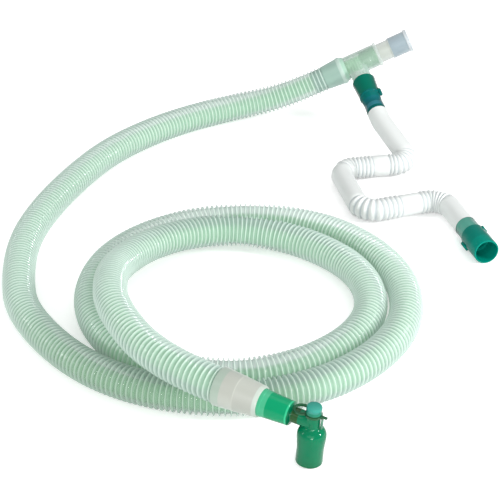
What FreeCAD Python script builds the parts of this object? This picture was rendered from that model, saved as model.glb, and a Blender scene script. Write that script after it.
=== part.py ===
"""A coaxial breathing hose with its tee, its flexible limb and its patient elbow.

A clear corrugated hose lies in two loops on a flat surface, with a green
corrugated hose running through it. The tee at the machine end is propped up
by the white limb, and the green elbow at the patient end stands on its mouth.
Lengths are in millimetres, the surface is at z = 0 and +Z is up.
"""

import FreeCAD, Part

import math
import os

V = FreeCAD.Vector

# Clear outer hose and green inner hose. A hose's diameter is taken over its ridges.
hose_d = 31.0
hose_wall = 2.6
hose_bore = hose_d - 2 * hose_wall
hose_tail_d = hose_bore + 1.2
hose_tail = 12.0
inner_d = 18.4
inner_wall = 1.9
inner_bore = inner_d - 2 * inner_wall

# Radial gap between pieces that are pushed into each other.
slip = 0.05

# Clearance under the inner hose, which lies on the bottom of the outer hose's bore.
inner_clearance = 0.3

# Soft cuff that joins the outer hose to the tee.
cuff_grip = 14.0
cuff_grip_wall = 1.6
cuff_root_d = 27.4
cuff_ring_d = 31.6
cuff_ring_at = 20.0
cuff_ring_width = 2.6
cuff_mouth_d = 27.4
cuff_length = 27.4
cuff_seat = 8.0

# Clear tee. Places along it are counted from the end of the outer hose.
tee_spigot_d = 23.6
tee_spigot_bore = 20.8
tee_d = 25.9
tee_bore = 23.2
tee_length = 41.2
bead_d = 27.8
bead_width = 3.2
port_at = 39.5
port_d = 22.0
port_bore = 18.8
port_reach = 47.4

# Sleeve on the end of the inner hose, inside the tee.
sleeve_d = 21.4
sleeve_bore = 15.0
sleeve_at = 46.5
sleeve_grip = 6.0
sleeve_length = 19.5

# Clear inlet connector with a 22 mm socket.
inlet_spigot_d = 17.0
inlet_spigot = 9.5
inlet_bore = 13.6
inlet_neck_d = 22.0
inlet_neck = 16.5
inlet_d = 24.4
inlet_socket_d = 22.0
inlet_socket = 22.0
inlet_flange_d = 26.8
inlet_flange = 3.6

# Teal adapter between the tee's port and the limb. Places are counted from the tee's axis.
adapter_at = 32.0
adapter_socket = 20.0
adapter_top_d = 26.6
adapter_waist_d = 23.4
adapter_waist_at = 56.5
adapter_lip_d = 24.2
adapter_lip = 1.6
adapter_neck_d = 21.4
adapter_end = 86.0
adapter_bore = 17.6
adapter_spigot = 9.0
adapter_lug_reach = 3.2
adapter_lug_length = 8.6
adapter_lug_width = 7.0

# White limb hose with bellows at its bends.
limb_d = 22.5
limb_wall = 0.8
limb_bore = limb_d - 2 * limb_wall
limb_ring_d = 24.0
limb_ring_foot = 3.4
limb_ring_crest = 1.2
limb_rings = 6
limb_ring_pitch = 3.9

# Teal connector at the limb's free end, with a 22 mm socket.
end_neck_d = 22.1
end_neck = 18.0
end_barrel_d = 25.2
end_barrel = 34.8
end_socket_d = 22.0
end_socket = 22.0
end_lug_reach = 2.1
end_lug_length = 9.0
end_lug_width = 7.0
end_lug_turn = 37.0
end_tab_reach = 0.9
end_tab_length = 5.0

# Off-white cuff at the patient end. Places are counted from the end of the outer hose.
patient_cuff_d = 32.8
patient_cuff_end_d = 26.0
patient_cuff_length = 39.3
patient_cuff_line_at = 19.0
patient_cuff_rim = 1.2

# Connector inside that cuff, which holds the inner hose in the middle by vanes.
centre_d = 21.5
centre_at = 23.0
centre_front_d = 19.6
centre_front = 10.5
centre_bore = 17.2
hub_bore = 11.6
hub_grip = 12.0
hub_end = 34.0
vane_count = 4
vane_thickness = 1.2
inner_end_at = 22.0

# Emerald elbow: a cup on the cuff's side, a narrow neck and a barrel that points down.
cup_flange_d = 23.4
cup_flange = 2.6
cup_d = 22.8
cup_small_d = 20.2
cup_length = 26.8
cup_wall = 1.5
arm_d = 12.9
arm_bore = 9.4
barrel_at = patient_cuff_length + 45.0
arm_height = 38.3
mouth_d = 22.0
mouth_straight = 14.0
barrel_d = 23.8
shoulder_at = 24.6
shoulder_top_at = 33.4
shoulder_top_d = 15.0
mouth_bore = 15.0
mouth_bore_depth = 18.0
stem_d = 12.0
stem_top_at = arm_height + arm_d / 2 + 0.05
nipple_d = 10.0
nipple_top_at = stem_top_at + 5.7
nipple_bore = 6.8

# Teal cap on the elbow's sampling port, with its tether moulded on.
cap_d = 12.6
cap_at = stem_top_at + 0.8
cap_top_at = stem_top_at + 9.4
cap_ring_d = 14.0
cap_ring_at = stem_top_at + 0.1
cap_ring = 1.8
cap_band = 0.25
tether_d = 14.0
tether_hole_d = 10.0
tether_thickness = 1.4
tether_out = 10.2
tether_at = stem_top_at + 0.6
tab_reach = 11.6
tab_width = 4.0
tab_thickness = 1.3
leg_reach = 8.2
leg_thickness = 0.8
leg_width = 3.0
leg_foot_at = stem_top_at - 9.8

# Directions of the straight ends. A turn is counted from +X towards +Y, and a rise from level.
tee_turn = 6.0
tee_rise = 24.0
limb_droop = 20.0
arm_turn = -29.0
arm_rise = -4.0

# Centre line of the outer hose, from the machine end to the patient end.
floor_z = hose_d / 2
hose_start = V(84.5, 328, 45)
hose_end = V(-27, -298.8, 45)
first_run = 50.0
last_run = 60.0
hose_points = [
    V(-21.5, 309, 16.5), V(-73.5, 280, floor_z), V(-118.5, 240, floor_z),
    V(-157.5, 191, floor_z), V(-185.5, 132, floor_z), V(-209.5, 65, floor_z),
    V(-223.5, -3, floor_z), V(-221.5, -72, floor_z), V(-208.5, -142, floor_z),
    V(-150.5, -226, floor_z), V(-78.5, -269, floor_z), V(6.5, -277, floor_z),
    V(81.5, -243, floor_z), V(134.5, -174, floor_z), V(143.5, -96, floor_z),
    V(118.5, -29, floor_z), V(73.5, 18, floor_z), V(14.5, 40, floor_z),
    V(-52.5, 34, floor_z), V(-110.5, -2, floor_z), V(-146.5, -59, floor_z),
    V(-150.5, -138, floor_z), V(-113.5, -211, floor_z), V(-41.5, -245, floor_z),
    V(26.5, -237, floor_z), V(84.5, -193, floor_z), V(111.5, -133, floor_z),
    V(101.5, -65, floor_z), V(54.5, -11, floor_z), V(-6.5, 10, 19),
    V(-58.5, -4, 23.5), V(-98.5, -38, 29), V(-122.5, -85, 36),
    V(-128.5, -131, 47), V(-122.5, -192, 53),
]

# Centre line of the limb after its first straight stretch, which points down from the tee.
limb_z = end_barrel_d / 2 + 0.05
limb_first_run = 14.0
limb_points = [
    V(168.5, 180, 15.5), V(160.5, 168, limb_z), V(103.5, 157, limb_z),
    V(94, 143.5, limb_z), V(109.5, 69.5, limb_z), V(123.5, 60.5, limb_z),
    V(186, 82.5, limb_z), V(200.5, 75, limb_z),
]
limb_end = V(213.5, 26, limb_z)

# Where along each bend the middle of its rings lies, from its first arc to its last.
limb_bend_shift = [0.72, 0.28, 0.72, 0.28]


def heading(turn, rise):
    """The unit vector with this turn about +Z and this rise, both in degrees."""
    turn, rise = math.radians(turn), math.radians(rise)
    level = math.cos(rise)
    return V(level * math.cos(turn), level * math.sin(turn), math.sin(rise))


def seat(origin, axis, side):
    """The placement whose Z is axis and whose X is as near to side as a right angle allows."""
    across = axis.cross(side)
    across.normalize()
    return FreeCAD.Placement(origin, FreeCAD.Rotation(across.cross(axis), across, axis, "ZXY"))


def turned(outline):
    """A solid turned about Z from a closed outline of (diameter, height) pairs."""
    points = [V(d / 2, 0, z) for d, z in outline]
    face = Part.Face(Part.makePolygon(points + points[:1]))
    return face.revolve(V(0, 0, 0), V(0, 0, 1), 360)


def ring(outer_d, inner_d_, low, high):
    """A plain ring, or a disc where the inner diameter is 0."""
    return turned([(inner_d_, low), (outer_d, low), (outer_d, high), (inner_d_, high)])


def block(x_low, x_high, width, z_low, z_high):
    """A box that is centred across Y."""
    return Part.makeBox(x_high - x_low, width, z_high - z_low, V(x_low, -width / 2, z_low))


def lug(inner_r, reach, low, length, width, slope):
    """A block on the side of a barrel whose two ends slope outwards."""
    corners = [
        V(inner_r, 0, low), V(inner_r + reach, 0, low + slope),
        V(inner_r + reach, 0, low + length - slope / 2), V(inner_r, 0, low + length),
    ]
    face = Part.Face(Part.makePolygon(corners + corners[:1]))
    solid = face.extrude(V(0, width, 0))
    solid.translate(V(0, -width / 2, 0))
    return solid


class Route:
    """Straight runs joined by arcs as large as the runs allow."""

    def __init__(self, points, share=0.45):
        self.edges = []
        self.radii = []
        here = points[0]
        for before, corner, after in zip(points, points[1:], points[2:]):
            back, ahead = before - corner, after - corner
            setback = share * min(back.Length, ahead.Length)
            back.normalize()
            ahead.normalize()
            half_turn = (math.pi - back.getAngle(ahead)) / 2
            radius = setback / math.tan(half_turn)
            inward = back + ahead
            inward.normalize()
            crown = corner + inward * (radius / math.cos(half_turn) - radius)
            start, end = corner + back * setback, corner + ahead * setback
            self.edges.append(Part.LineSegment(here, start).toShape())
            self.edges.append(Part.Arc(start, crown, end).toShape())
            self.radii.append(radius)
            here = end
        self.edges.append(Part.LineSegment(here, points[-1]).toShape())
        self.length = sum(edge.Length for edge in self.edges)

    def place(self, distance):
        """The point and the direction at this distance along the route."""
        for edge in self.edges:
            if distance <= edge.Length or edge is self.edges[-1]:
                share = min(distance / edge.Length, 1.0)
                at = edge.FirstParameter + share * (edge.LastParameter - edge.FirstParameter)
                return edge.valueAt(at), edge.tangentAt(at)
            distance -= edge.Length

    def rod(self, diameter):
        """A solid of this diameter along the whole route."""
        point, direction = self.place(0)
        section = Part.Wire(Part.makeCircle(diameter / 2, point, direction))
        return Part.Wire(self.edges).makePipeShell([section], True, True)

    def tube(self, outer_d, bore_d):
        """A tube along the whole route."""
        return self.rod(outer_d).cut(self.rod(bore_d))


tee_axis = heading(tee_turn, tee_rise)
level_side = V(tee_axis.y, -tee_axis.x, 0).normalize()
steep_side = tee_axis.cross(level_side)
if steep_side.z > 0:
    steep_side = steep_side * -1
droop = math.radians(limb_droop)
port_axis = level_side * math.cos(droop) + steep_side * math.sin(droop)
port_origin = hose_start + tee_axis * port_at
arm_axis = heading(arm_turn, arm_rise)
barrel_axis = heading(arm_turn, arm_rise + 90)
limb_start = port_origin + port_axis * adapter_end
end_axis = (limb_end - limb_points[-1]).normalize()

at_tee = seat(hose_start, tee_axis, port_axis)
at_port = seat(port_origin, port_axis, tee_axis)
at_limb_end = seat(limb_end, end_axis, V(-1, 0, 0))
at_patient = seat(hose_end, arm_axis, barrel_axis)
elbow_centre = hose_end + arm_axis * barrel_at
at_barrel = seat(elbow_centre - barrel_axis * arm_height, barrel_axis, arm_axis)

second_point = hose_start - tee_axis * first_run
last_point = hose_end - arm_axis * last_run
middle_points = [second_point] + hose_points + [last_point]
hose_route = Route([hose_start] + middle_points + [hose_end])
inner_start = hose_start + tee_axis * (sleeve_at + sleeve_grip)
inner_end = hose_end + arm_axis * inner_end_at
inner_drop = V(0, 0, (hose_bore - inner_d) / 2 - inner_clearance)
lowered_points = [second_point] + [point - inner_drop for point in hose_points] + [last_point]
inner_route = Route([inner_start] + lowered_points + [inner_end])
limb_second_point = limb_start + port_axis * limb_first_run
limb_route = Route([limb_start, limb_second_point] + limb_points + [limb_end])


def make_outer_hose():
    """The clear hose over its ridges, with the plain tail that the patient cuff grips."""
    body = hose_route.tube(hose_d, hose_bore)
    tail = ring(hose_tail_d, hose_bore, -1, hose_tail)
    tail.Placement = at_patient
    return body.fuse(tail)


def make_inner_hose():
    """The green hose, from the sleeve in the tee to the hub at the patient end."""
    return inner_route.tube(inner_d, inner_bore)


def make_machine_cuff():
    """Soft cuff: a spigot inside the hose, a ring round its middle and a socket for the tee."""
    grip_d = hose_bore - 2 * slip
    grip_bore = grip_d - 2 * cuff_grip_wall
    socket_d = tee_spigot_d + 2 * slip
    ring_end = cuff_ring_at + cuff_ring_width
    return turned([
        (grip_bore, -cuff_grip), (grip_d, -cuff_grip), (grip_d, 0), (cuff_root_d, 0),
        (cuff_ring_d - 1.0, cuff_ring_at - 0.6), (cuff_ring_d, cuff_ring_at),
        (cuff_ring_d, ring_end), (cuff_mouth_d + 1.4, ring_end + 1.6),
        (cuff_mouth_d, cuff_length), (socket_d, cuff_length), (socket_d, cuff_seat),
        (grip_bore, cuff_seat),
    ])


def make_tee():
    """Clear tee: a spigot for the cuff, a body with an end bead and a port on its side."""
    low, high = cuff_length, cuff_length + tee_length
    bead = high - bead_width
    outside = turned([
        (0, cuff_seat), (tee_spigot_d - 0.6, cuff_seat), (tee_spigot_d, cuff_seat + 0.8),
        (tee_spigot_d, low), (tee_d, low), (tee_d, bead - 0.6), (bead_d - 0.6, bead),
        (bead_d, bead + 0.6), (bead_d, high - 0.8), (bead_d - 1.2, high), (0, high),
    ])
    neck_seat_d = inlet_neck_d + 2 * slip
    passage = turned([
        (0, cuff_seat - 1), (tee_spigot_bore, cuff_seat - 1), (tee_spigot_bore, low - 1.5),
        (tee_bore, low + 0.5), (tee_bore, bead), (neck_seat_d, bead), (neck_seat_d, high + 1),
        (0, high + 1),
    ])
    port_wall = Part.makeCylinder(port_d / 2, port_reach, V(0, 0, port_at), V(1, 0, 0))
    port_hole = Part.makeCylinder(port_bore / 2, port_reach + 1, V(0, 0, port_at), V(1, 0, 0))
    return outside.fuse(port_wall).cut(passage.fuse(port_hole)).removeSplitter()


def make_sleeve():
    """Smooth green sleeve that joins the inner hose to the inlet connector."""
    low, high = sleeve_at, sleeve_at + sleeve_length
    grip_d = inner_d + 2 * slip
    spigot_d = inlet_spigot_d + 2 * slip
    return turned([
        (grip_d, low), (sleeve_d - 1.0, low), (sleeve_d, low + 0.8), (sleeve_d, high),
        (spigot_d, high), (spigot_d, high - inlet_spigot), (sleeve_bore, high - inlet_spigot),
        (sleeve_bore, low + sleeve_grip), (grip_d, low + sleeve_grip),
    ])


def make_inlet():
    """Clear connector: a spigot in the sleeve, a neck in the tee and a flanged socket."""
    face = sleeve_at + sleeve_length
    shoulder = face + inlet_neck
    mouth = shoulder + 2.0 + inlet_socket
    flange = mouth - inlet_flange
    return turned([
        (inlet_bore, face - inlet_spigot), (inlet_spigot_d, face - inlet_spigot),
        (inlet_spigot_d, face), (inlet_neck_d, face), (inlet_neck_d, shoulder - 0.4),
        (inlet_d - 0.6, shoulder), (inlet_d, shoulder + 0.6), (inlet_d, flange - 0.5),
        (inlet_flange_d, flange), (inlet_flange_d, flange + 1.2),
        (inlet_flange_d - 0.6, flange + 1.6), (inlet_flange_d - 0.6, flange + 2.2),
        (inlet_flange_d, flange + 2.5), (inlet_flange_d, mouth - 0.4),
        (inlet_flange_d - 0.8, mouth), (inlet_socket_d, mouth),
        (inlet_socket_d, mouth - inlet_socket), (inlet_bore + 3.0, mouth - inlet_socket),
        (inlet_bore, mouth - inlet_socket - 5.0),
    ])


def make_adapter():
    """Teal adapter: a tapering barrel on the port, a lipped waist, a banded neck and a spigot."""
    socket_d = port_d + 2 * slip
    spigot_d = limb_bore - 2 * slip
    lip_end = adapter_waist_at + adapter_lip
    band = adapter_end - 4.6
    body = turned([
        (socket_d, adapter_at), (adapter_top_d - 1.0, adapter_at),
        (adapter_top_d, adapter_at + 0.8), (adapter_waist_d, adapter_waist_at - 0.3),
        (adapter_lip_d, adapter_waist_at), (adapter_lip_d, lip_end),
        (adapter_neck_d + 0.6, lip_end + 0.8), (adapter_neck_d + 0.2, lip_end + 7.0),
        (adapter_neck_d - 0.3, lip_end + 7.4), (adapter_neck_d - 0.3, band - 6.0),
        (adapter_neck_d + 0.1, band - 5.6), (adapter_neck_d + 0.1, band),
        (adapter_neck_d + 0.7, band + 0.4), (adapter_neck_d + 0.7, adapter_end - 0.5),
        (adapter_neck_d + 0.2, adapter_end), (spigot_d, adapter_end),
        (spigot_d, adapter_end + adapter_spigot), (adapter_bore, adapter_end + adapter_spigot),
        (adapter_bore, adapter_at + adapter_socket + 1.2),
        (socket_d - 2.0, adapter_at + adapter_socket), (socket_d, adapter_at + adapter_socket),
    ])
    lug_low = adapter_waist_at - adapter_lug_length / 2
    ear = lug(
        adapter_neck_d / 2 - 0.6, adapter_lug_reach + 0.9, lug_low, adapter_lug_length,
        adapter_lug_width, 3.0,
    )
    inside = ring(socket_d, 0, adapter_at, adapter_at + adapter_socket)
    return body.fuse(ear.cut(inside)).removeSplitter()


def limb_ring_places():
    """Distances along the limb of the middle of each ring, by bend."""
    places = []
    arcs = [edge.Length for edge in limb_route.edges]
    for bend in range(len(limb_points) // 2):
        first = 4 * bend + 2
        upto = sum(arcs[:first + 1])
        bend_length = sum(arcs[first + 1:first + 4])
        middle = upto + bend_length * limb_bend_shift[bend]
        reach = (limb_rings - 1) * limb_ring_pitch / 2
        places += [middle - reach + i * limb_ring_pitch for i in range(limb_rings)]
    return places


def make_limb():
    """White limb hose: a tube with bellows rings round each bend."""
    crest = turned([
        (0, -limb_ring_foot / 2), (limb_d - 0.8, -limb_ring_foot / 2),
        (limb_ring_d, -limb_ring_crest / 2), (limb_ring_d, limb_ring_crest / 2),
        (limb_d - 0.8, limb_ring_foot / 2), (0, limb_ring_foot / 2),
    ])
    body = limb_route.rod(limb_d)
    for distance in limb_ring_places():
        point, direction = limb_route.place(distance)
        one = crest.copy()
        one.Placement = seat(point, direction, V(0, 0, 1))
        body = body.fuse(one)
    return body.cut(limb_route.rod(limb_bore))


def make_limb_end():
    """Teal connector: a spigot in the limb, a thin neck and a lugged barrel with a socket."""
    spigot_d = limb_bore - 2 * slip
    mouth = end_neck + end_barrel
    body = turned([
        (adapter_bore, -adapter_spigot), (spigot_d, -adapter_spigot), (spigot_d, 0),
        (end_neck_d, 0), (end_neck_d, end_neck - 0.6), (end_barrel_d - 0.8, end_neck),
        (end_barrel_d, end_neck + 0.6), (end_barrel_d, mouth - 0.6), (end_barrel_d - 0.9, mouth),
        (end_socket_d, mouth), (end_socket_d, mouth - end_socket),
        (end_socket_d - 2.0, mouth - end_socket), (adapter_bore, mouth - end_socket - 1.4),
    ])
    skin = end_barrel_d / 2 - 0.9
    ear = lug(skin, end_lug_reach + 0.9, end_neck + 1.0, end_lug_length, end_lug_width, 1.2)
    tab = lug(skin, end_tab_reach + 0.9, end_neck + 0.4, end_tab_length, end_lug_width, 1.0)
    ear.rotate(V(0, 0, 0), V(0, 0, 1), end_lug_turn)
    tab.rotate(V(0, 0, 0), V(0, 0, 1), end_lug_turn + 180)
    inside = ring(end_socket_d, 0, mouth - end_socket, mouth)
    return body.fuse([ear.cut(inside), tab.cut(inside)]).removeSplitter()


def make_patient_cuff():
    """Off-white cuff that grips the hose's tail and narrows towards the elbow."""
    tail_d = hose_tail_d + 2 * slip
    seat_d = centre_d + 2 * slip
    line = patient_cuff_line_at
    slope = (patient_cuff_end_d - patient_cuff_d) / patient_cuff_length
    line_d = patient_cuff_d + slope * line + 0.4
    end = patient_cuff_length
    return turned([
        (tail_d, 0), (patient_cuff_d - 0.8, 0), (patient_cuff_d, 0.8), (line_d + 0.7, line - 0.4),
        (line_d, line), (line_d, line + 0.2), (patient_cuff_end_d + 0.4, end - patient_cuff_rim),
        (patient_cuff_end_d - patient_cuff_rim, end), (seat_d, end), (seat_d, centre_at),
        (hose_bore - 1.5, hose_tail + 4.0), (hose_bore - 1.5, hose_tail + slip),
        (tail_d, hose_tail + slip),
    ])


def make_patient_connector():
    """Hidden connector: a stepped tube, and a hub for the inner hose held by vanes."""
    front = patient_cuff_length
    tip = front + centre_front
    shell = turned([
        (centre_bore, centre_at), (centre_d, centre_at), (centre_d, front),
        (centre_front_d, front), (centre_front_d, tip), (centre_bore, tip),
    ])
    hub_d = inner_bore - 2 * slip
    hub = ring(hub_d, hub_bore, inner_end_at - hub_grip, hub_end)
    vanes = []
    for i in range(vane_count):
        vane = block(hub_bore / 2 + 0.5, centre_bore / 2 + 0.5, vane_thickness, centre_at, hub_end)
        vane.rotate(V(0, 0, 0), V(0, 0, 1), 360 / vane_count * (i + 0.5))
        vanes.append(vane)
    return shell.fuse([hub] + vanes).removeSplitter()


def make_elbow():
    """Emerald elbow in the barrel's frame: its axis is Z and the cup lies towards -X."""
    cup_at = patient_cuff_length - barrel_at
    small_at = cup_at + cup_length
    cup_bore = centre_front_d + 2 * slip
    seat_end = cup_at + centre_front + slip
    cup = turned([
        (0, cup_at), (cup_flange_d, cup_at), (cup_flange_d, cup_at + cup_flange),
        (cup_d, cup_at + cup_flange + 0.4), (cup_small_d, small_at - 1.0),
        (cup_small_d - 2.0, small_at), (arm_d + 1.0, small_at + 0.6), (arm_d, small_at + 1.6),
        (arm_d, 0), (0, 0),
    ])
    cup_small_bore = cup_small_d - 2 * cup_wall
    hollow = turned([
        (0, cup_at - 1), (cup_bore, cup_at - 1), (cup_bore, seat_end), (cup_small_bore, seat_end),
        (cup_small_bore, small_at - 3.0), (arm_bore, small_at), (arm_bore, 0), (0, 0),
    ])
    along_arm = seat(V(0, 0, arm_height), V(1, 0, 0), V(0, 0, 1))
    cup.Placement = along_arm
    hollow.Placement = along_arm
    barrel_face = [
        Part.LineSegment(V(0, 0, 0), V(mouth_d / 2 - 0.5, 0, 0)).toShape(),
        Part.LineSegment(V(mouth_d / 2 - 0.5, 0, 0), V(mouth_d / 2, 0, 0.5)).toShape(),
        Part.LineSegment(V(mouth_d / 2, 0, 0.5), V(mouth_d / 2, 0, mouth_straight)).toShape(),
        Part.LineSegment(
            V(mouth_d / 2, 0, mouth_straight), V(barrel_d / 2, 0, shoulder_at)).toShape(),
        Part.Arc(
            V(barrel_d / 2, 0, shoulder_at),
            V(barrel_d / 2 - 1.1, 0, shoulder_at + 5.2),
            V(shoulder_top_d / 2, 0, shoulder_top_at)).toShape(),
        Part.Arc(
            V(shoulder_top_d / 2, 0, shoulder_top_at),
            V(stem_d / 2 + 0.4, 0, shoulder_top_at + 1.3),
            V(stem_d / 2, 0, shoulder_top_at + 3.0)).toShape(),
        Part.LineSegment(
            V(stem_d / 2, 0, shoulder_top_at + 3.0), V(stem_d / 2, 0, stem_top_at)).toShape(),
        Part.LineSegment(V(stem_d / 2, 0, stem_top_at), V(nipple_d / 2, 0, stem_top_at)).toShape(),
        Part.LineSegment(
            V(nipple_d / 2, 0, stem_top_at), V(nipple_d / 2, 0, nipple_top_at)).toShape(),
        Part.LineSegment(V(nipple_d / 2, 0, nipple_top_at), V(0, 0, nipple_top_at)).toShape(),
        Part.LineSegment(V(0, 0, nipple_top_at), V(0, 0, 0)).toShape(),
    ]
    barrel = Part.Face(Part.Wire(barrel_face)).revolve(V(0, 0, 0), V(0, 0, 1), 360)
    passage = turned([
        (0, -1), (mouth_bore, -1), (mouth_bore, mouth_bore_depth),
        (mouth_bore + 3.0, mouth_bore_depth + 1.5), (mouth_bore + 3.0, shoulder_at + 1.0),
        (arm_bore, shoulder_top_at), (arm_bore, arm_height), (nipple_bore, arm_height + 1.5),
        (nipple_bore, nipple_top_at + 1), (0, nipple_top_at + 1),
    ])
    return cup.fuse(barrel).cut(hollow.fuse(passage)).removeSplitter()


def make_port_cap():
    """Cap in the barrel's frame, with its pull tab, its ring on the port and its tether."""
    bore_d = nipple_d + 2 * slip
    height = cap_top_at - cap_at
    body = turned([
        (0, nipple_top_at + slip), (bore_d, nipple_top_at + slip), (bore_d, cap_at),
        (cap_d, cap_at), (cap_d, cap_at + 0.35 * height),
        (cap_d - 2 * cap_band, cap_at + 0.4 * height), (cap_d - 2 * cap_band, cap_at + 0.52 * height),
        (cap_d, cap_at + 0.57 * height), (cap_d, cap_top_at - 1.6), (cap_d - 1.0, cap_top_at - 0.5),
        (cap_d - 3.4, cap_top_at), (0, cap_top_at),
    ])
    collar = ring(cap_ring_d, bore_d, cap_ring_at, cap_ring_at + cap_ring)
    bridge = block(nipple_d / 2 + 0.4, cap_d / 2, tab_width, cap_ring_at + 0.4, cap_at + 1.0)
    tab = block(cap_d / 2 - 0.8, tab_reach, tab_width, cap_at, cap_at + tab_thickness)
    leg = block(leg_reach - leg_thickness, leg_reach, leg_width, leg_foot_at, cap_ring_at + cap_ring)
    foot = block(cap_ring_d / 2 - 0.8, leg_reach, leg_width, cap_ring_at, cap_ring_at + cap_ring)
    eyelet = ring(tether_d, tether_hole_d, tether_at, tether_at + tether_thickness)
    eyelet.translate(V(-tether_out, 0, 0))
    core = ring(bore_d, 0, cap_ring_at - 1, nipple_top_at + slip)
    whole = body.fuse([collar, bridge, tab, leg, foot, eyelet])
    return whole.cut(core).removeSplitter()


def placed(solid, placement):
    """The solid moved to its place on the hose."""
    solid.Placement = placement.multiply(solid.Placement)
    return solid


pieces = {
    "outer_hose": make_outer_hose(),
    "inner_hose": make_inner_hose(),
    "machine_cuff": placed(make_machine_cuff(), at_tee),
    "tee_manifold": placed(make_tee(), at_tee),
    "inner_hose_sleeve": placed(make_sleeve(), at_tee),
    "inlet_connector": placed(make_inlet(), at_tee),
    "limb_adapter": placed(make_adapter(), at_port),
    "limb_hose": make_limb(),
    "limb_end_connector": placed(make_limb_end(), at_limb_end),
    "patient_cuff": placed(make_patient_cuff(), at_patient),
    "patient_connector": placed(make_patient_connector(), at_patient),
    "elbow": placed(make_elbow(), at_barrel),
    "port_cap": placed(make_port_cap(), at_barrel),
}

os.makedirs("parts", exist_ok=True)
for name, shape in pieces.items():
    solids = shape.Solids
    print(name, "solids", len(solids), "valid", shape.isValid(), "volume", round(shape.Volume, 1))
    solids[0].exportStep(f"parts/{name}.step")

box = Part.makeCompound(list(pieces.values())).optimalBoundingBox(False, False)
print("box", box.XMin, box.XMax, box.YMin, box.YMax, box.ZMin, box.ZMax)
for name, route in (("outer_hose", hose_route), ("limb_hose", limb_route)):
    print(name, "length", round(route.length, 1), "radii", [round(r) for r in route.radii])
section = math.pi * (hose_d ** 2 - hose_bore ** 2) / 4
print("outer hose volume over section times length", hose_route.tube(hose_d, hose_bore).Volume
      / (section * hose_route.length))
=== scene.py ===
# %% [markdown]
# # A coaxial breathing hose
#
# The CAD model holds the hose at its real size. This script gives it its looks, one piece
# at a time: the corrugation of the two hoses, the bellows of the limb, the clear, milky
# and coloured plastics, and a bright table-top picture of it all.

# %% Load the frame
import math

import bmesh
import bpy
from mathutils import Matrix, Vector


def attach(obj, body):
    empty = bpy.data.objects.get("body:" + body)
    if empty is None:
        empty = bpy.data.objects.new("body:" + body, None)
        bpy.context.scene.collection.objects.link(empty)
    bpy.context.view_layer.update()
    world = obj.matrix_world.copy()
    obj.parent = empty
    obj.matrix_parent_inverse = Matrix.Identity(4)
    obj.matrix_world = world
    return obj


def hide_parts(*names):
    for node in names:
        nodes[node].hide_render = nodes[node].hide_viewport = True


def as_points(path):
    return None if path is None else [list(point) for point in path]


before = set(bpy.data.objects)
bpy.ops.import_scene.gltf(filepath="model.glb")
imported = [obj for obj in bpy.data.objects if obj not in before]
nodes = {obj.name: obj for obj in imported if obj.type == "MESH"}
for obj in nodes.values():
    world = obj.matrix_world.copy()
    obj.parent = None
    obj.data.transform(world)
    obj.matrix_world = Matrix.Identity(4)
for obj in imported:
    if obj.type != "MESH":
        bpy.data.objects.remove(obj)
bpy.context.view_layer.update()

MM = 0.001
SAME_POINT = 0.000001
print("CAD nodes:", ", ".join(sorted(nodes)))

# %% [markdown]
# ## Camera
#
# The photograph looks down at the hose at about 30 degrees, through a long lens. A long
# lens from far away keeps the far loop nearly as large as the near one, so the lens length
# and the distance matter more here than they do in a close-up.

# %% Camera
camera_data = bpy.data.cameras.new("camera")
camera_data.lens = 108.17
camera_data.sensor_width = 36.0
camera_data.clip_end = 20.0
camera = bpy.data.objects.new("camera", camera_data)
camera.location = (-0.0025, -1.29207, 0.73181)
camera.rotation_euler = (math.radians(90.0 - 29.5), 0.0, 0.0)
bpy.context.scene.collection.objects.link(camera)
bpy.context.scene.camera = camera
bpy.context.scene.view_settings.view_transform = "Standard"
print("camera at", tuple(camera.location))

# %% [markdown]
# ## Shader maths
#
# A material is a graph of nodes. Written as Python expressions it stays readable, so a small
# class wraps a node's output and turns each operator into a Math node. Every other node comes
# from one method, which sets the node's own settings first and then its sockets.

# %% Shader helpers
class Wire:
    """A node's output, on which arithmetic adds Math nodes."""

    def __init__(self, finish, socket):
        self.finish = finish
        self.socket = socket

    def _math(self, operation, first, second, clamp=False):
        settings = {"operation": operation, "use_clamp": clamp}
        return self.finish.node("ShaderNodeMath", settings, {0: first, 1: second})

    def __add__(self, other):
        return self._math("ADD", self, other)

    def __radd__(self, other):
        return self._math("ADD", other, self)

    def __sub__(self, other):
        return self._math("SUBTRACT", self, other)

    def __rsub__(self, other):
        return self._math("SUBTRACT", other, self)

    def __mul__(self, other):
        return self._math("MULTIPLY", self, other)

    def __rmul__(self, other):
        return self._math("MULTIPLY", other, self)

    def __pow__(self, other):
        return self._math("POWER", self, other)

    def clamped(self):
        return self._math("ADD", self, 0.0, True)


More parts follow.
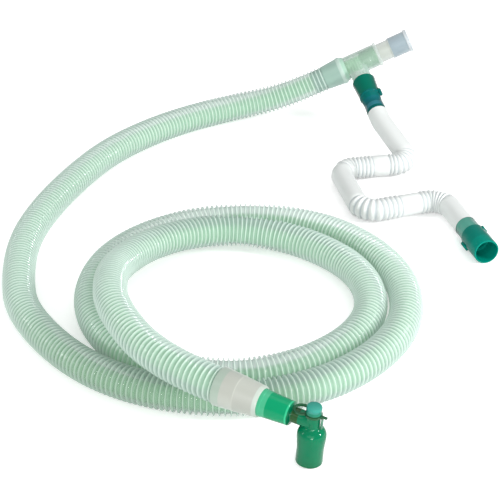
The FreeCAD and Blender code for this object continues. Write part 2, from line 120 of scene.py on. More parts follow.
class Finish:
    """A material and the tree of nodes that makes it."""

    def __init__(self, name):
        self.material = bpy.data.materials.new(name)
        self.material.use_nodes = True
        self.tree = self.material.node_tree
        self.tree.nodes.clear()

    def node(self, kind, settings=None, sockets=None, output=0):
        """Adds a node: its settings first, then the values or wires of its sockets."""
        made = self.tree.nodes.new(kind)
        for key, value in (settings or {}).items():
            setattr(made, key, value)
        for key, value in (sockets or {}).items():
            if isinstance(value, Wire):
                self.tree.links.new(value.socket, made.inputs[key])
            else:
                made.inputs[key].default_value = value
        return Wire(self, made.outputs[output]) if made.outputs else made

    def mixed(self, share, first, second):
        """A colour between two colours."""
        settings = {"data_type": "RGBA"}
        return self.node("ShaderNodeMix", settings, {0: share, 6: first, 7: second}, 2)

    def object_point(self):
        return self.node("ShaderNodeTexCoord", output="Object")

    def noise(self, scale, detail):
        sockets = {"Vector": self.object_point(), "Scale": scale, "Detail": detail}
        return self.node("ShaderNodeTexNoise", {}, sockets, "Fac")

    def bump(self, height, strength, distance):
        sockets = {"Height": height, "Strength": strength, "Distance": distance}
        return self.node("ShaderNodeBump", {}, sockets)

    def edge_on(self, blend=0.5):
        """1 where the surface is seen edge on, 0 where it faces the viewer."""
        return self.node("ShaderNodeLayerWeight", {}, {"Blend": blend}, "Facing")

    def attribute(self, name):
        return self.node("ShaderNodeAttribute", {"attribute_name": name}, {}, "Fac")

    def along(self, origin, axis):
        """Millimetres from an origin along an axis."""
        sockets = {0: self.object_point(), 1: axis}
        place = self.node("ShaderNodeVectorMath", {"operation": "DOT_PRODUCT"}, sockets, "Value")
        return (place - origin.dot(axis)) * 1000.0

    def surface(self, **sockets):
        """The plastic itself. A socket's name is written with underscores."""
        named = {key.replace("_", " "): value for key, value in sockets.items()}
        return self.node("ShaderNodeBsdfPrincipled", {}, named)

    def done(self, shader):
        self.node("ShaderNodeOutputMaterial", {}, {"Surface": shader})
        return self.material


def colour(red, green, blue):
    """An sRGB colour from 0 to 255, as the linear colour that a socket takes."""
    linear = []
    for value in (red, green, blue):
        value /= 255.0
        linear.append(value / 12.92 if value <= 0.04045 else ((value + 0.055) / 1.055) ** 2.4)
    return (*linear, 1.0)


# %% [markdown]
# ## Table, lamps and world
#
# The hose lies on a white table in a white room. The table's own colour is pale, and for the
# camera a little light of its own lifts it to white and still keeps the hose's shadow. A broad
# lamp and a low strip in front light the ridges. A small lamp on either side sets a highlight
# on the elbow's shoulders, and the right one is the stronger, as the right of the photograph
# is the lighter.

# %% Table
table_lift = 0.42
floor_finish = Finish("table")
path_kind = floor_finish.tree.nodes.new("ShaderNodeLightPath")
seen = Wire(floor_finish, path_kind.outputs["Is Camera Ray"])
glossy = Wire(floor_finish, path_kind.outputs["Is Glossy Ray"])
through = Wire(floor_finish, path_kind.outputs["Is Transmission Ray"])
shown = (seen + glossy + through).clamped()
paper = floor_finish.node("ShaderNodeBsdfDiffuse", {}, {"Color": (0.86, 0.86, 0.86, 1.0)})
lift = floor_finish.node(
    "ShaderNodeEmission", {}, {"Color": (1.0, 1.0, 1.0, 1.0), "Strength": shown * table_lift})
floor_finish.done(floor_finish.node("ShaderNodeAddShader", {}, {0: paper, 1: lift}))

floor_mesh = bmesh.new()
bmesh.ops.create_grid(floor_mesh, x_segments=1, y_segments=1, size=6.0)
floor_data = bpy.data.meshes.new("table")
floor_mesh.to_mesh(floor_data)
floor_mesh.free()
floor_data.materials.append(floor_finish.material)
table = bpy.data.objects.new("table", floor_data)
bpy.context.scene.collection.objects.link(table)

# %% Lamps and world
def lamp(name, place, aim, size, power):
    """A soft box of a size in metres and a power in watts, turned towards a place."""
    data = bpy.data.lights.new(name, "AREA")
    data.shape = "RECTANGLE"
    data.size, data.size_y = size
    data.energy = power
    made = bpy.data.objects.new(name, data)
    made.location = place
    made.rotation_euler = (Vector(aim) - Vector(place)).to_track_quat("-Z", "Y").to_euler()
    bpy.context.scene.collection.objects.link(made)


lamp("front_box", (-0.3, -2.2, 1.2), (0.0, 0.0, 0.0), (2.0, 1.0), 12.5)
lamp("low_strip", (0.2, -1.9, 0.36), (0.0, 0.0, 0.02), (0.7, 0.2), 13.0)
lamp("left_box", (-1.5, -0.5, 0.95), (0.0, -0.2, 0.02), (0.35, 0.35), 3.5)
lamp("right_box", (1.5, -0.6, 0.85), (0.1, -0.1, 0.02), (0.35, 0.35), 20.0)
lamp("top_box", (0.7, 0.3, 2.0), (0.0, 0.0, 0.0), (2.0, 2.0), 13.0)

world = bpy.data.worlds.new("room")
world.use_nodes = True
world.node_tree.nodes["Background"].inputs["Color"].default_value = (1.0, 1.0, 1.0, 1.0)
world.node_tree.nodes["Background"].inputs["Strength"].default_value = 0.54
bpy.context.scene.world = world

# %% [markdown]
# ## The routes of the hoses
#
# A hose that lies on a table is one smooth line. It is a NURBS curve whose control points are
# the corners of the CAD model's route, here in metres. The order and the end points are set
# after the points, because a spline with no points yet falls back to straight runs.

# %% Route points
def direction(turn, rise):
    """The unit vector with this turn about +Z and this rise, in degrees."""
    turn, rise = math.radians(turn), math.radians(rise)
    level = math.cos(rise)
    return Vector((level * math.cos(turn), level * math.sin(turn), math.sin(rise)))


tee_axis = direction(6.0, 24.0)
arm_axis = direction(-29.0, -4.0)
barrel_axis = direction(-29.0, 86.0)
hose_start = Vector((0.0845, 0.328, 0.045))
hose_end = Vector((-0.027, -0.2988, 0.045))
hose_corners = [Vector(point) for point in (
    (-0.0215, 0.309, 0.0165), (-0.0735, 0.28, 0.0155), (-0.1185, 0.24, 0.0155),
    (-0.1575, 0.191, 0.0155), (-0.1855, 0.132, 0.0155), (-0.2095, 0.065, 0.0155),
    (-0.2235, -0.003, 0.0155), (-0.2215, -0.072, 0.0155), (-0.2085, -0.142, 0.0155),
    (-0.1505, -0.226, 0.0155), (-0.0785, -0.269, 0.0155), (0.0065, -0.277, 0.0155),
    (0.0815, -0.243, 0.0155), (0.1345, -0.174, 0.0155), (0.1435, -0.096, 0.0155),
    (0.1185, -0.029, 0.0155), (0.0735, 0.018, 0.0155), (0.0145, 0.04, 0.0155),
    (-0.0525, 0.034, 0.0155), (-0.1105, -0.002, 0.0155), (-0.1465, -0.059, 0.0155),
    (-0.1505, -0.138, 0.0155), (-0.1135, -0.211, 0.0155), (-0.0415, -0.245, 0.0155),
    (0.0265, -0.237, 0.0155), (0.0845, -0.193, 0.0155), (0.1115, -0.133, 0.0155),
    (0.1015, -0.065, 0.0155), (0.0545, -0.011, 0.0155), (-0.0065, 0.01, 0.019),
    (-0.0585, -0.004, 0.0235), (-0.0985, -0.038, 0.029), (-0.1225, -0.085, 0.036),
    (-0.1285, -0.131, 0.047), (-0.1225, -0.192, 0.053),
)]
first_run, last_run = 0.05, 0.06
first_corner = hose_start - first_run * tee_axis
last_corner = hose_end - last_run * arm_axis


def spline_points(name, corners, resolution):
    """A smooth NURBS curve along a route's corners, and the points of its line."""
    data = bpy.data.curves.new(name, "CURVE")
    data.dimensions = "3D"
    spline = data.splines.new("NURBS")
    spline.points.add(len(corners) - 1)
    for point, corner in zip(spline.points, corners):
        point.co = (*corner, 1.0)
    spline.order_u = 3
    spline.use_endpoint_u = True
    data.resolution_u = resolution
    holder = bpy.data.objects.new(name, data)
    bpy.context.scene.collection.objects.link(holder)
    line = bpy.data.meshes.new_from_object(holder)
    points = [vertex.co.copy() for vertex in line.vertices]
    bpy.data.meshes.remove(line)
    return holder, points


def line_length(points):
    """The length in metres of the line through these points."""
    return sum((after - before).length for before, after in zip(points, points[1:]))


outer_line, outer_path = spline_points(
    "outer_line", [hose_start, first_corner, *hose_corners, last_corner, hose_end], 16)
print("outer hose line", round(line_length(outer_path), 4), "m,", len(outer_path), "points")

# %% [markdown]
# ## Tubes and turned pieces
#
# Two kinds of shape make nearly all of this part. A tube is a profile spun round X and bent
# along a line by a Curve modifier, which closes its ridges up inside a bend and opens them
# outside it, as on the real hose. A turned piece is a closed outline spun round Z, drawn in
# the piece's own frame and set on the hose by a matrix. Each point of a tube keeps how high it
# stands on its ridge, so that the material can tell a crest from a valley.

# %% Tubes
def object_from(bm, name):
    """A new object that holds this bmesh."""
    data = bpy.data.meshes.new(name)
    bm.to_mesh(data)
    bm.free()
    made = bpy.data.objects.new(name, data)
    bpy.context.scene.collection.objects.link(made)
    return made


def applied(made):
    """Bakes the object's modifiers into its mesh."""
    graph = bpy.context.evaluated_depsgraph_get()
    baked = bpy.data.meshes.new_from_object(made.evaluated_get(graph))
    made.modifiers.clear()
    made.data = baked


def tube(name, line, profile, low, high, sides):
    """A tube from (distance, radius) pairs in mm, bent along a line.

    Low and high are the radii of its valleys and crests, between which the crest value runs
    from 0 to 1.
    """
    bm = bmesh.new()
    crest = bm.verts.layers.float.new("crest")
    ring = [bm.verts.new((place * MM, 0.0, radius * MM)) for place, radius in profile]
    for vertex, (place, radius) in zip(ring, profile):
        vertex[crest] = (radius - low) / (high - low)
    for pair in zip(ring, ring[1:]):
        bm.edges.new(pair)
    bmesh.ops.spin(
        bm, geom=bm.verts[:] + bm.edges[:], cent=(0, 0, 0), axis=(1, 0, 0),
        angle=math.tau, steps=sides, use_merge=True)
    bmesh.ops.recalc_face_normals(bm, faces=bm.faces)
    outward = sum(
        face.normal.dot(Vector((0, *face.calc_center_median().yz))) for face in bm.faces)
    if outward < 0:
        bmesh.ops.reverse_faces(bm, faces=bm.faces)
    for face in bm.faces:
        face.smooth = True
    made = object_from(bm, name)
    bend = made.modifiers.new("bend", "CURVE")
    bend.object = line
    bend.deform_axis = "POS_X"
    applied(made)
    print(name, len(made.data.polygons) * 2, "triangles")
    return made


def ridges(length, pitch, shape):
    """One ridge after another, in mm. The places of a ridge's shape run from 0 to 1."""
    count = round(length / pitch)
    pitch = length / count
    points = [
        ((index + place) * pitch, radius) for index in range(count) for place, radius in shape]
    return points + [(length, shape[0][1])]


# %% Turned pieces
def seat(origin, axis, side):
    """The place whose Z is axis and whose X is as near to side as a right angle allows."""
    across = axis.cross(side).normalized()
    turn = Matrix((across.cross(axis), across, axis)).transposed()
    return Matrix.Translation(origin) @ turn.to_4x4()


def turned_mesh(outline, sides=72):
    """A bmesh spun round Z from a closed outline of (diameter, height) in mm."""
    bm = bmesh.new()
    ring = [bm.verts.new((diameter / 2 * MM, 0.0, height * MM)) for diameter, height in outline]
    for first, second in zip(ring, ring[1:] + ring[:1]):
        if first.co.x > 0 or second.co.x > 0:
            bm.edges.new((first, second))
    bmesh.ops.spin(
        bm, geom=bm.verts[:] + bm.edges[:], cent=(0, 0, 0), axis=(0, 0, 1),
        angle=math.tau, steps=sides, use_merge=True)
    bmesh.ops.remove_doubles(bm, verts=bm.verts, dist=SAME_POINT)
    bmesh.ops.recalc_face_normals(bm, faces=bm.faces)
    return bm


def turned(outline, name, place=None):
    """An object of that shape, if need be moved to another place."""
    bm = turned_mesh(outline)
    if place:
        bmesh.ops.transform(bm, matrix=place, verts=bm.verts)
    return object_from(bm, name)


def block(low, high, name):
    """A box between two corners in mm."""
    bm = bmesh.new()
    bmesh.ops.create_cube(bm, size=1.0)
    span = [top - bottom for bottom, top in zip(low, high)]
    middle = [(top + bottom) / 2 for bottom, top in zip(low, high)]
    bmesh.ops.scale(bm, vec=Vector(span) * MM, verts=bm.verts)
    bmesh.ops.translate(bm, vec=Vector(middle) * MM, verts=bm.verts)
    return object_from(bm, name)


def joined(made, others, operation):
    """Adds the other objects or cuts with them, and removes them."""
    for other in others:
        step = made.modifiers.new("step", "BOOLEAN")
        step.operation = operation
        step.solver = "EXACT"
        step.object = other
    applied(made)
    for other in others:
        bpy.data.objects.remove(other)


def finished(made, place, bevel, finish, node):
    """Bevels the hard edges, sets the piece in its place and swaps it for its CAD node."""
    bevel_from, crease_from = math.radians(32.0), math.radians(40.0)
    bm = bmesh.new()
    bm.from_mesh(made.data)
    bmesh.ops.remove_doubles(bm, verts=bm.verts, dist=SAME_POINT)
    hard = [edge for edge in bm.edges
            if len(edge.link_faces) == 2 and edge.calc_face_angle() > bevel_from]
    bmesh.ops.bevel(
        bm, geom=hard, offset=bevel * MM, offset_type="OFFSET", segments=2, profile=0.5,
        affect="EDGES", clamp_overlap=True, material=-1)
    for face in bm.faces:
        face.smooth = True
    for edge in bm.edges:
        if len(edge.link_faces) == 2 and edge.calc_face_angle() > crease_from:
            edge.smooth = False
    bm.transform(place)
    bm.to_mesh(made.data)
    bm.free()
    made.data.materials.clear()
    made.data.materials.append(finish)
    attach(made, "root")
    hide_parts(node)
    print(made.name, len(made.data.polygons), "faces")


# %% Places of the fittings
port_at, adapter_end = 0.0395, 0.086
barrel_at, arm_height = 0.0843, 0.0383
port_axis = Vector((0.236575, -0.920004, -0.312451))
port_origin = hose_start + port_at * tee_axis
limb_start = port_origin + adapter_end * port_axis
limb_end = Vector((0.2135, 0.026, 0.01265))
end_axis = Vector((0.256435, -0.966562, 0.0))
barrel_foot = hose_end + barrel_at * arm_axis - arm_height * barrel_axis
at_tee = seat(hose_start, tee_axis, port_axis)
at_port = seat(port_origin, port_axis, tee_axis)
at_limb_end = seat(limb_end, end_axis, Vector((-1, 0, 0)))
at_patient = seat(hose_end, arm_axis, barrel_axis)
at_barrel = seat(barrel_foot, barrel_axis, arm_axis)

# %% [markdown]
# ## The two hoses
#
# The outer hose ends in a plain tail under the patient's cuff. The inner hose isn't held in the
# middle on its way, so it lies along the bottom of the outer one.

# %% Outer hose
outer_length = line_length(outer_path)
outer_valley, outer_flank, outer_crest = 13.05, 13.8, 15.4
outer_pitch = 4.65
outer_ridge = [
    (0.0, outer_valley), (0.24, outer_valley), (0.37, outer_flank), (0.46, outer_crest),
    (0.58, outer_crest), (0.67, outer_flank), (0.8, outer_valley),
]
outer_hose = tube(
    "corrugated_outer_hose", outer_line, ridges(outer_length / MM, outer_pitch, outer_ridge),
    outer_valley, outer_crest, 24)
hose_tail = turned_mesh([(25.8, -1.5), (27.0, -1.5), (27.0, 12.0), (25.8, 12.0)], 24)
hose_tail.transform(at_patient)
hose_tail.from_mesh(outer_hose.data)
hose_tail.to_mesh(outer_hose.data)
hose_tail.free()

# %% Inner hose
inner_sag = Vector((0.0, 0.0, 0.0034))
inner_start_at, inner_end_at = 0.0525, 0.022
inner_start = hose_start + inner_start_at * tee_axis
inner_end = hose_end + inner_end_at * arm_axis
inner_line, inner_path = spline_points(
    "inner_line",
    [inner_start, first_corner, *[corner - inner_sag for corner in hose_corners], last_corner,
     inner_end], 16)
inner_length = line_length(inner_path)
inner_valley, inner_crest = 8.3, 9.2
inner_pitch = 3.3
inner_ridge = [(0.0, inner_valley), (0.3, inner_valley), (0.5, inner_crest), (0.7, inner_crest)]
inner_hose = tube(
    "corrugated_inner_hose", inner_line, ridges(inner_length / MM, inner_pitch, inner_ridge),
    inner_valley, inner_crest, 16)

# %% [markdown]
# ## Plastics of the hoses
#
# The outer hose is thin and clear, and a little milky. Where its wall faces the viewer, the
# light goes through it, and where it is seen edge on, the way through the wall is long and it
# turns grey-green. A crest is painted paler than a valley and made a little less clear: painted
# light along the ridges, fading towards the silhouettes. A little glow stands for the light that
# a thin milky wall scatters inside itself. The strands that lie under the last one, at the front
# left, are painted a deeper green, as painted shade for the shade the last strand casts.

# %% Outer hose plastic
def painted_shade_share(finish):
    """1 low at the front left of the loops, where painted shade makes the hose deeper green, else
    0.
    """
    front_depth = 130.0
    shade_top, shade_fade = 46.0, 22.0
    behind = finish.along(Vector((-0.13, -0.33, 0.0)), Vector((0.45, 0.89, 0.0)))
    height = finish.along(Vector((0.0, 0.0, 0.0)), Vector((0.0, 0.0, 1.0)))
    low = ((shade_top - height) * (1.0 / shade_fade)).clamped()
    return ((front_depth - behind) * (1.0 / front_depth)).clamped() * (low * 0.85 + 0.15)


clear = Finish("clear_hose_plastic")
rim = clear.edge_on(0.5)
crest = clear.attribute("crest")
# Painted light: the crests are painted paler, fading towards the silhouettes.
crest_painted_light = clear.mixed(
    crest * (1.0 - (rim ** 2.0) * 0.9), colour(176, 199, 191), colour(222, 238, 230))
# Painted shade: low at the front left, under the last strand, the hose is painted deeper green.
painted_shade_colour = clear.mixed(painted_shade_share(clear) * 0.9, crest_painted_light, colour(92, 138, 94))
wall_colour = clear.mixed(rim ** 4.0, painted_shade_colour, colour(96, 124, 120))
opacity = (0.44 + crest * 0.2 + (rim ** 2.5) * 0.45).clamped()
clear_hose_plastic = clear.done(clear.surface(
    Base_Color=wall_colour, Roughness=0.1, IOR=1.5, Alpha=opacity,
    Emission_Color=wall_colour, Emission_Strength=0.08))
outer_hose.data.materials.append(clear_hose_plastic)

# %% Inner hose plastic
green = Finish("green_hose_plastic")
rib = green.attribute("crest")
# Painted light: the ribs are painted paler than the grooves.
rib_painted_light = green.mixed(rib, colour(140, 197, 150), colour(166, 215, 172))
# Painted shade: low at the front left, under the last strand, the inner hose is painted deeper
# green.
rib_colour = green.mixed(painted_shade_share(green), rib_painted_light, colour(70, 122, 64))
rib_alpha = 0.85 * (1.0 - (green.edge_on(0.5) ** 1.6) * 0.95)
# The glow is painted light that lifts the inner hose in the shade of the outer wall.
green_hose_plastic = green.done(green.surface(
    Base_Color=rib_colour, Roughness=0.4, IOR=1.45, Alpha=rib_alpha,
    Emission_Color=rib_colour, Emission_Strength=0.2))
inner_hose.data.materials.append(green_hose_plastic)

# %% [markdown]
# ## The limb
#
# The white limb is a smooth tube between short bellows, which let it be bent and stay bent.
# Its spline has an extra point on each side of a bend, because the real legs are straight.

# %% Limb route
limb_corners = [Vector(point) for point in (
    (0.144045, 0.239772, 0.029821), (0.1477, 0.2308, 0.02767), (0.1629, 0.1937, 0.01878),
    (0.1685, 0.18, 0.0155), (0.1605, 0.168, 0.01265), (0.1458, 0.1652, 0.01265),
    (0.1182, 0.1598, 0.01265), (0.1035, 0.157, 0.01265), (0.094, 0.1435, 0.01265),
    (0.0971, 0.1288, 0.01265), (0.1064, 0.0842, 0.01265), (0.1095, 0.0695, 0.01265),
    (0.1235, 0.0605, 0.01265), (0.1376, 0.0655, 0.01265), (0.1719, 0.0775, 0.01265),
    (0.186, 0.0825, 0.01265), (0.2005, 0.075, 0.01265), (0.2043, 0.0605, 0.01265),
)]
limb_line, limb_path = spline_points("limb_line", [limb_start, *limb_corners, limb_end], 12)
limb_length = line_length(limb_path)
print("limb line", round(limb_length, 4), "m")

# %% Limb profile
limb_valley, limb_leg, limb_crest = 10.4, 11.25, 12.1


def bellows(first, last, count):
    """Places and radii, in mm, of this many rounded rings between two distances."""
    pitch = (last - first) / count
    points = []
    for index in range(count):
        low = first + index * pitch
        points += [
            (low, limb_valley), (low + 0.22 * pitch, 11.1), (low + 0.36 * pitch, 11.85),
            (low + 0.5 * pitch, limb_crest), (low + 0.64 * pitch, 11.85),
            (low + 0.78 * pitch, 11.1),
        ]
    return points + [(last, limb_valley)]


def leg(first, last):
    """Places of a smooth stretch, close enough together to follow the line."""
    steps = max(2, round((last - first) / 5.0))
    return [(first + (last - first) * step / steps, limb_leg) for step in range(steps + 1)]


limb_profile = [
    *leg(0.0, 78.0), *bellows(79.0, 107.0, 7), *leg(108.0, 124.5), *bellows(125.5, 159.5, 8),
    *leg(160.5, 236.5), *bellows(237.5, 284.5, 9), *leg(285.5, 306.5), *bellows(307.5, 338.0, 7),
    *leg(339.0, limb_length / MM),
]
limb_hose = tube("bellows_limb", limb_line, limb_profile, limb_valley, limb_crest, 40)

# %% Limb plastic
white = Finish("white_limb_plastic")
white_rim = white.edge_on(0.5)
white_crest = white.attribute("crest")
# Painted shade: the valleys of the bellows are painted darker than the crests.
valley_painted_shade = (1.0 - white_crest * 2.2).clamped()
white_colour = white.mixed(valley_painted_shade, colour(222, 226, 224), colour(178, 188, 192))
white_face = white.mixed((white_rim ** 2.5) * 0.8, white_colour, colour(208, 212, 212))
white_limb_plastic = white.done(white.surface(
    Base_Color=white_face, Roughness=0.28, IOR=1.45, Alpha=0.95,
    Normal=white.bump(white.noise(700.0, 2.0), 0.05, 0.0002)))
limb_hose.data.materials.append(white_limb_plastic)

# %% [markdown]
# ## Plastics of the fittings
#
# Every fitting is some shade of milky: it lets light through where it faces the viewer and is
# denser seen edge on. A few change along their length, because another piece sits inside and
# shows through, or because a painted highlight or painted shade lies across them, so a material
# can be given bands: colours with the places where they start.

# %% Fitting plastics
def banded(finish, place, bands):
    """A colour that changes along a piece. Each band is a place in mm and a colour from there."""
    change_per_mm = 1.6
    shade = bands[0][1]
    for start, tint in bands[1:]:
        shade = finish.mixed(((place - start) * change_per_mm).clamped(), shade, tint)
    return shade


def milky(name, face, edge, alpha, roughness=0.3, glow=0.0, specular=0.5):
    """A soft plastic. Its face is a colour, or a rule that makes one from the material.
    Its glow is painted light: the plastic gives off a little light of its own.
    """
    finish = Finish(name)
    rim = finish.edge_on(0.5)
    tint = face(finish) if callable(face) else face
    shade = finish.mixed(rim ** 2.0, tint, edge)
    return finish.done(finish.surface(
        Base_Color=shade, Roughness=roughness, IOR=1.45, Specular_IOR_Level=specular,
        Alpha=(alpha + (rim ** 2.0) * (1.0 - alpha)).clamped(),
        Emission_Color=shade, Emission_Strength=glow,
        Normal=finish.bump(finish.noise(600.0, 3.0), 0.05, 0.0002)))


def tee_bands(*bands):
    """Bands along the tee, for milky."""
    return lambda finish: banded(finish, finish.along(hose_start, tee_axis), bands)


# Painted highlight: the band from 18.6 mm to 23.2 mm lightens the machine cuff's ring.
pale_cuff_plastic = milky(
    "pale_cuff_plastic",
    tee_bands((0.0, colour(166, 196, 184)), (18.6, colour(198, 220, 210)),
              (23.2, colour(176, 212, 192))),
    colour(134, 168, 158), 0.72, 0.3, 0.05)
clear_tee_plastic = milky(
    "clear_tee_plastic",
    tee_bands((0.0, colour(188, 212, 200)), (64.6, colour(232, 243, 238))),
    colour(186, 204, 198), 0.28, 0.1)
sleeve_plastic = milky(
    "sleeve_plastic", colour(134, 178, 140), colour(70, 112, 86), 0.92, 0.35, 0.08)
clear_inlet_plastic = milky(
    "clear_inlet_plastic",
    tee_bands((0.0, colour(212, 218, 210)), (83.0, colour(168, 185, 193)),
              (102.2, colour(208, 216, 220))),
    colour(202, 211, 213), 0.6, 0.2)

# %% [markdown]
# ## The machine end
#
# A soft cuff joins the hose to the clear tee. The inner hose runs on through the tee and is
# joined by a green sleeve to the inlet connector, so the two gas ways part here: the inlet
# feeds the inner hose, and the outer hose opens into the port on the side.

# %% Machine cuff
machine_cuff = turned([
    (22.5, -14.0), (25.7, -14.0), (25.7, 0.0), (27.4, 0.0), (30.4, 18.6), (31.6, 19.6),
    (31.6, 22.8), (28.8, 24.2), (27.4, 27.4), (23.7, 27.4), (23.7, 8.0), (22.5, 8.0),
], "soft_machine_cuff")
finished(machine_cuff, at_tee, 0.35, pale_cuff_plastic, "machine_cuff")

# %% Tee
on_port = Matrix.Translation((0, 0, port_at)) @ Matrix.Rotation(math.pi / 2, 4, "Y")
tee = turned([
    (0, 8.0), (23.0, 8.0), (23.6, 8.8), (23.6, 27.4), (25.9, 27.4), (25.9, 64.8), (27.2, 65.4),
    (27.8, 66.0), (27.8, 67.8), (26.6, 68.6), (0, 68.6),
], "clear_tee")
port = turned([(0, 0), (22.0, 0), (22.0, 47.4), (0, 47.4)], "port", on_port)
port_hole = turned([(0, 0), (18.8, 0), (18.8, 48.4), (0, 48.4)], "port_hole", on_port)
passage = turned([
    (0, 7.0), (20.8, 7.0), (20.8, 25.9), (23.2, 27.9), (23.2, 65.4), (22.1, 65.4), (22.1, 69.6),
    (0, 69.6),
], "passage")
joined(tee, [port], "UNION")
joined(tee, [passage, port_hole], "DIFFERENCE")
finished(tee, at_tee, 0.3, clear_tee_plastic, "tee_manifold")

# %% Sleeve on the inner hose
sleeve = turned([
    (18.5, 46.5), (20.4, 46.5), (21.4, 47.3), (21.4, 66.0), (17.1, 66.0), (17.1, 56.5),
    (15.0, 56.5), (15.0, 52.5), (18.5, 52.5),
], "inner_sleeve")
finished(sleeve, at_tee, 0.2, sleeve_plastic, "inner_hose_sleeve")

# %% Inlet connector
inlet = turned([
    (13.6, 56.5), (17.0, 56.5), (17.0, 66.0), (22.0, 66.0), (22.0, 82.1), (23.8, 82.5),
    (24.4, 83.1), (24.4, 102.4), (26.8, 102.9), (26.8, 104.1), (26.0, 104.5), (26.0, 105.1),
    (26.8, 105.4), (26.8, 106.1), (26.0, 106.5), (22.0, 106.5), (22.0, 84.5), (16.6, 84.5),
    (13.6, 79.5),
], "clear_inlet")
finished(inlet, at_tee, 0.2, clear_inlet_plastic, "inlet_connector")

# %% [markdown]
# ## Teal connectors
#
# The limb is pushed between two teal connectors. Each has a barrel that grips, a thinner neck
# and a lug that stops a hand from slipping. The neck is thin enough to let the white limb's
# light through, so it is paler and bluer than the barrel.

# %% Teal plastics
adapter_plastic = milky(
    "adapter_plastic",
    lambda finish: banded(finish, finish.along(port_origin, port_axis), (
        (0.0, colour(0, 108, 88)), (56.0, colour(4, 100, 96)), (66.0, colour(14, 100, 106)),
        (74.8, colour(48, 122, 136)), (80.8, colour(2, 90, 86)))),
    colour(0, 60, 58), 1.0, 0.16, 0.01, 0.08)
# Its glow is painted light, to brighten the inside of its mouth.
end_plastic = milky(
    "end_plastic",
    lambda finish: banded(finish, finish.along(limb_end, end_axis), (
        (-9.0, colour(94, 172, 154)), (16.4, colour(0, 116, 102)), (40.0, colour(0, 126, 110)))),
    colour(0, 76, 68), 1.0, 0.18, 0.12, 0.08)


def lug(reach, low, length, slope, turn=0.0, inner=11.2, width=7.0):
    """A block on the side of a barrel whose outer end is the shorter one."""
    made = block((inner, -width / 2, low), (inner + reach, width / 2, low + length), "lug")
    bm = bmesh.new()
    bm.from_mesh(made.data)
    for vertex in bm.verts:
        if vertex.co.x > (inner + reach / 2) * MM:
            vertex.co.z += (slope if vertex.co.z < (low + length / 2) * MM else -slope / 2) * MM
    bmesh.ops.bevel(
        bm, geom=bm.edges[:], offset=0.35 * MM, offset_type="OFFSET", segments=2, profile=0.5,
        affect="EDGES", material=-1)
    bm.transform(Matrix.Rotation(math.radians(turn), 4, "Z"))
    bm.to_mesh(made.data)
    bm.free()
    return made


# %% Adapter
adapter = turned([
    (22.1, 32.0), (25.6, 32.0), (26.6, 32.8), (23.4, 56.2), (24.2, 56.5), (24.2, 58.1),
    (22.0, 58.9), (21.6, 65.1), (21.1, 65.5), (21.1, 75.4), (21.5, 75.8), (21.5, 81.4),
    (22.1, 81.8), (22.1, 85.5), (21.6, 86.0), (20.8, 86.0), (20.8, 95.0), (17.6, 95.0),
    (17.6, 53.2), (20.1, 52.0), (22.1, 52.0),
], "teal_adapter")
joined(adapter, [lug(3.0, 52.2, 8.6, 3.0)], "UNION")
finished(adapter, at_port, 0.2, adapter_plastic, "limb_adapter")

# %% Limb end connector
limb_end_piece = turned([
    (17.6, -9.0), (20.8, -9.0), (20.8, 0.0), (22.1, 0.0), (22.1, 17.4), (24.4, 18.0),
    (25.2, 18.6), (25.2, 52.2), (24.3, 52.8), (22.0, 52.8), (22.0, 30.8), (20.0, 30.8),
    (17.6, 29.4),
], "teal_limb_end")
grips = [lug(3.0, 19.0, 9.0, 1.2, 37.0, 11.7), lug(1.8, 18.4, 5.0, 1.0, 217.0, 11.7)]
joined(limb_end_piece, grips, "UNION")
finished(limb_end_piece, at_limb_end, 0.25, end_plastic, "limb_end_connector")

# %% [markdown]
# ## The patient end
#
# A soft off-white cuff joins the hose to the elbow. The elbow is emerald plastic with a real
# wall thickness. It is part clear and part dense: the clear part shows the rims, and the dense
# part keeps the colour even where there is only shade behind it. The arm is darkest next to
# the cup. A painted highlight line and a painted dark ring of shade lie where the cup steps
# down to the arm, the barrel is painted darker near the mouth as painted shade of its bore,
# and a little glow is painted light on the whole elbow.

# %% Patient cuff
# Painted shade: the band from 19.3 mm darkens the front taper of the cuff, which faces the lamps
# more.
cuff_plastic = milky(
    "off_white_cuff_plastic",
    lambda finish: banded(finish, finish.along(hose_end, arm_axis), (
        (-2.0, colour(166, 184, 170)), (7.0, colour(184, 187, 178)),
        (19.3, colour(168, 171, 163)), (35.6, colour(182, 193, 184)))),
    colour(178, 188, 180), 0.9, 0.38)
patient_cuff = turned([
    (27.1, 0.0), (32.0, 0.0), (32.8, 0.8), (30.1, 18.0), (30.5, 18.6), (30.5, 19.2),
    (29.8, 19.8), (26.4, 38.1), (24.8, 39.3), (21.6, 39.3), (21.6, 23.0), (24.3, 16.0),
    (24.3, 12.05), (27.1, 12.05),
], "off_white_cuff")
finished(patient_cuff, at_patient, 0.3, cuff_plastic, "patient_cuff")

# %% Emerald plastic
emerald = Finish("emerald_plastic")
emerald_rim = emerald.edge_on(0.4)
# Painted highlight and shade: the band from 63.4 mm is a bright line on the step from cup to arm,
# and the band from 64.8 mm a dark ring of shade beside it.
emerald_face = banded(emerald, emerald.along(hose_end, arm_axis), (
    (0.0, colour(78, 184, 142)), (46.0, colour(4, 158, 108)), (63.4, colour(60, 206, 152)),
    (64.8, colour(0, 112, 76)), (67.0, colour(44, 88, 46)), (73.0, colour(0, 126, 86))))
# Painted shade: near the mouth the barrel is painted darker where it faces the viewer, for its
# bore seen through the wall.
core_height = 14.0
above_foot = emerald.along(barrel_foot, barrel_axis)
near_mouth = (1.0 - above_foot * (1.0 / core_height)).clamped()
core_shade_share = near_mouth * ((1.0 - emerald_rim) ** 3.0) * 0.75
emerald_with_core_shade = emerald.mixed(core_shade_share, emerald_face, colour(40, 84, 40))
emerald_shade = emerald.mixed(emerald_rim ** 3.0, emerald_with_core_shade, colour(0, 60, 46))
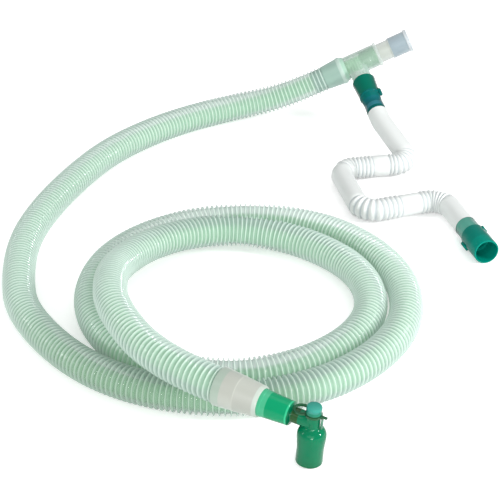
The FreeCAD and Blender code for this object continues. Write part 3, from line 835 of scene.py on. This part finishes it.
# The emission is a painted glow that lifts the elbow's colour.
emerald_plastic = emerald.done(emerald.surface(
    Base_Color=emerald_shade, Roughness=0.06, IOR=1.28, Transmission_Weight=0.35,
    Emission_Color=emerald_shade, Emission_Strength=0.1,
    Normal=emerald.bump(emerald.noise(500.0, 2.0), 0.04, 0.0002)))
# Painted shade: the bore's own faces take a darker milky plastic.
emerald_bore_shade = milky("emerald_bore_shade", colour(40, 112, 70), colour(10, 84, 56), 0.8, 0.2)

# %% Elbow
along_arm = seat(Vector((0, 0, arm_height)), Vector((1, 0, 0)), Vector((0, 0, 1)))
elbow = turned([
    (0, 0), (21.0, 0), (22.0, 0.5), (22.0, 14.0), (23.8, 24.6), (23.7, 26.6), (23.0, 28.6),
    (21.6, 30.2), (19.4, 31.8), (16.8, 32.8), (15.0, 33.4), (13.6, 34.2), (12.5, 35.2),
    (12.0, 36.4), (12.0, 44.8), (10.0, 44.8), (10.0, 50.5), (0, 50.5),
], "emerald_elbow")
cup = turned([
    (0, -45.0), (23.4, -45.0), (23.4, -42.4), (22.8, -42.0), (20.2, -19.2), (18.2, -18.2),
    (13.9, -17.6), (12.9, -16.6), (12.9, 0), (0, 0),
], "cup", along_arm)
hollow = turned([
    (0, -46.0), (19.7, -46.0), (19.7, -34.45), (17.2, -34.45), (17.2, -21.2), (9.4, -18.2),
    (9.4, 0), (0, 0),
], "hollow", along_arm)
core = turned([
    (0, -1), (15.0, -1), (15.0, 18.0), (18.0, 19.5), (18.0, 25.6), (9.4, 33.4), (9.4, 38.3),
    (6.8, 39.8), (6.8, 51.5), (0, 51.5),
], "core")
joined(elbow, [cup], "UNION")
joined(elbow, [hollow, core], "DIFFERENCE")
finished(elbow, at_barrel, 0.25, emerald_plastic, "elbow")
# The faces of the bore get the painted shade plastic.
elbow.data.materials.append(emerald_bore_shade)
core_radius, core_top = 7.6 * MM, 0.019
from_barrel = at_barrel.inverted()
for face in elbow.data.polygons:
    middle = from_barrel @ face.center
    if middle.xy.length < core_radius and middle.z < core_top:
        face.material_index = 1

# %% Connector inside the cuff
connector = nodes["patient_connector"]
connector.data.materials.clear()
connector.data.materials.append(emerald_plastic)

# %% Port cap
cap_plastic = milky(
    "teal_cap_plastic",
    lambda finish: banded(finish, finish.along(barrel_foot, barrel_axis), (
        (0.0, colour(30, 120, 84)), (44.6, colour(30, 84, 50)), (47.0, colour(20, 122, 94)),
        (49.6, colour(46, 148, 132)))),
    colour(10, 84, 70), 0.94, 0.24, 0.0, 0.35)
cap = turned([
    (0, 50.55), (10.1, 50.55), (10.1, 45.6), (12.6, 45.6), (12.6, 49.0), (12.1, 49.4),
    (12.1, 50.4), (12.6, 50.8), (12.6, 52.6), (11.6, 53.7), (9.2, 54.2), (0, 54.2),
], "teal_port_cap")
joined(cap, [
    turned([(10.1, 44.9), (14.0, 44.9), (14.0, 46.7), (10.1, 46.7)], "collar"),
    block((5.5, -1.2, 45.7), (11.6, 1.2, 46.7), "tab"),
    block((7.4, -1.5, 35.0), (8.2, 1.5, 46.7), "leg"),
    block((6.2, -1.5, 44.9), (8.2, 1.5, 46.7), "foot"),
    turned([(10.0, 45.4), (14.0, 45.4), (14.0, 46.8), (10.0, 46.8)], "eyelet",
           Matrix.Translation((-0.0102, 0, 0))),
], "UNION")
bore = turned([(0, 43.9), (10.1, 43.9), (10.1, 50.55), (0, 50.55)], "bore")
joined(cap, [bore], "DIFFERENCE")
finished(cap, at_barrel, 0.2, cap_plastic, "port_cap")

# %% [markdown]
# ## Cords
#
# The two hoses and the limb are hung on the root, and their CAD nodes are hidden.

for piece, node, slot in (
    (outer_hose, "outer_hose", "clear_hose"), (inner_hose, "inner_hose", "green_hose"),
    (limb_hose, "limb_hose", "white_limb"),
):
    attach(piece, "root")
    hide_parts(node)
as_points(outer_path)
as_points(inner_path)
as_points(limb_path)

# %% Clean up
for line in (outer_line, inner_line, limb_line):
    bpy.data.objects.remove(line)
